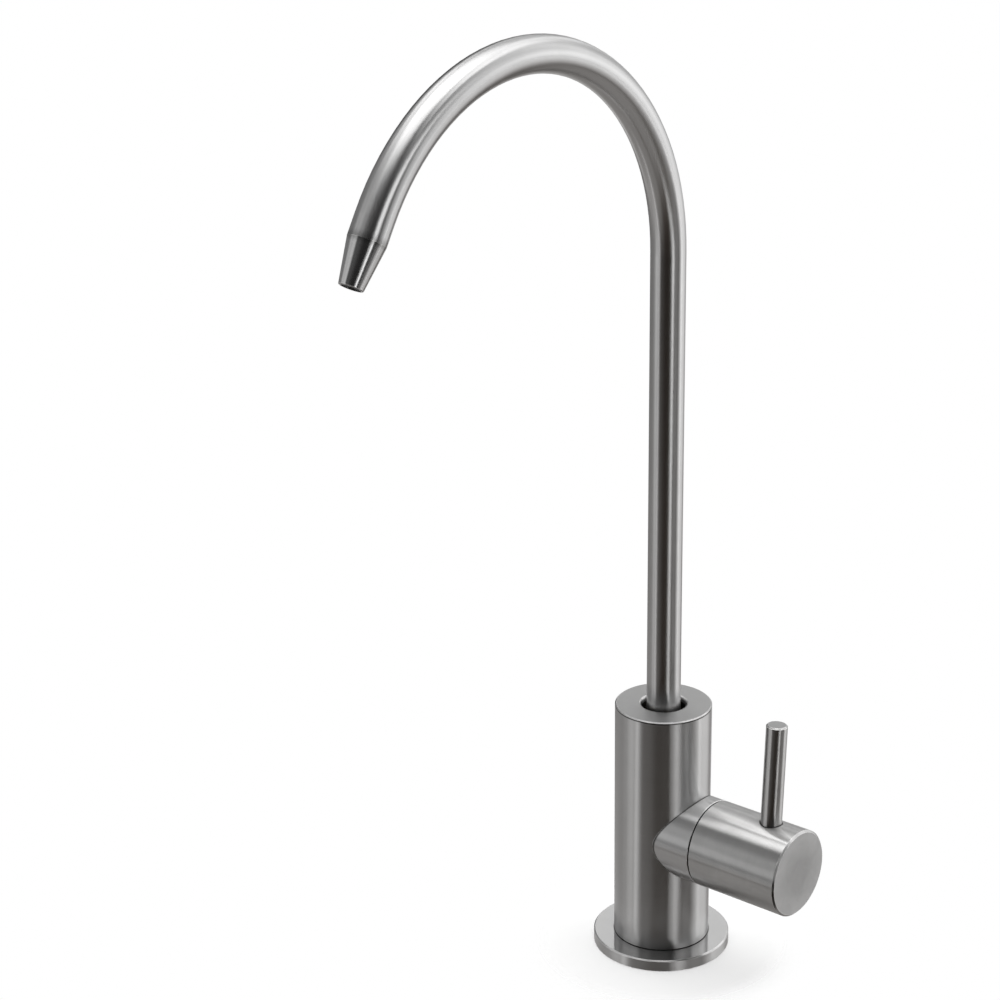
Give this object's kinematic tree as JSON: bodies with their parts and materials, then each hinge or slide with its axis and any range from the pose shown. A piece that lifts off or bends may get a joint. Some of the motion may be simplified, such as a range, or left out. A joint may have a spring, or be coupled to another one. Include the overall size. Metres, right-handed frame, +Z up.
{
  "type": "reverse osmosis faucet",
  "caption": "Slim deck faucet for filtered drinking water: a round column with a swivelling gooseneck and a quarter-turn side handle with an upright rod lever.",
  "frame": {"origin": "centre of the inlet socket's mouth, in the plane of the flange's underside, which is the top of the deck", "axes": "+Z up along the body's axis, -Y the way the spout points, +X along the side handle"},
  "size_m": [0.0679, 0.1469, 0.2775],
  "materials": {
    "satin_steel": "satin brushed stainless steel",
    "spring_steel": "plain stainless spring and screw steel",
    "brass": "machined brass",
    "black_rubber": "black moulded rubber",
    "dark_acetal": "dark low-friction acetal",
    "white_acetal": "white low-friction plastic",
    "white_ceramic": "lapped alumina ceramic"
  },
  "bodies": {
    "body": {"base_flange": "satin_steel", "deck_gasket": "black_rubber", "valve_body": "satin_steel", "cartridge_shell": "brass", "cartridge_o_ring": "black_rubber", "seat_seal": "black_rubber", "fixed_disc": "white_ceramic", "thrust_washer": "white_acetal", "bonnet_nut": "brass", "handle_bush": "dark_acetal", "spout_washer": "white_acetal", "spout_clip": "spring_steel"},
    "spout": {"spout_tube": "satin_steel", "spout_tip": "satin_steel", "swivel_sleeve": "brass", "sleeve_o_rings": "black_rubber"},
    "handle": {"handle_barrel": "satin_steel", "lever_rod": "satin_steel", "handle_set_screw": "spring_steel", "valve_stem": "brass", "stem_o_rings": "black_rubber", "moving_disc": "white_ceramic", "stop_washer": "brass", "stem_clip": "spring_steel"}
  },
  "joints": [
    {"name": "spout_swivel", "type": "hinge", "parent": "body", "child": "spout", "pos_m": [0, 0, 0.052], "axis": [0, 0, 1], "continuous": true},
    {"name": "handle_turn", "type": "hinge", "parent": "body", "child": "handle", "pos_m": [0.0378, 0, 0.0375], "axis": [1, 0, 0], "range_deg": [0, 90]}
  ]
}
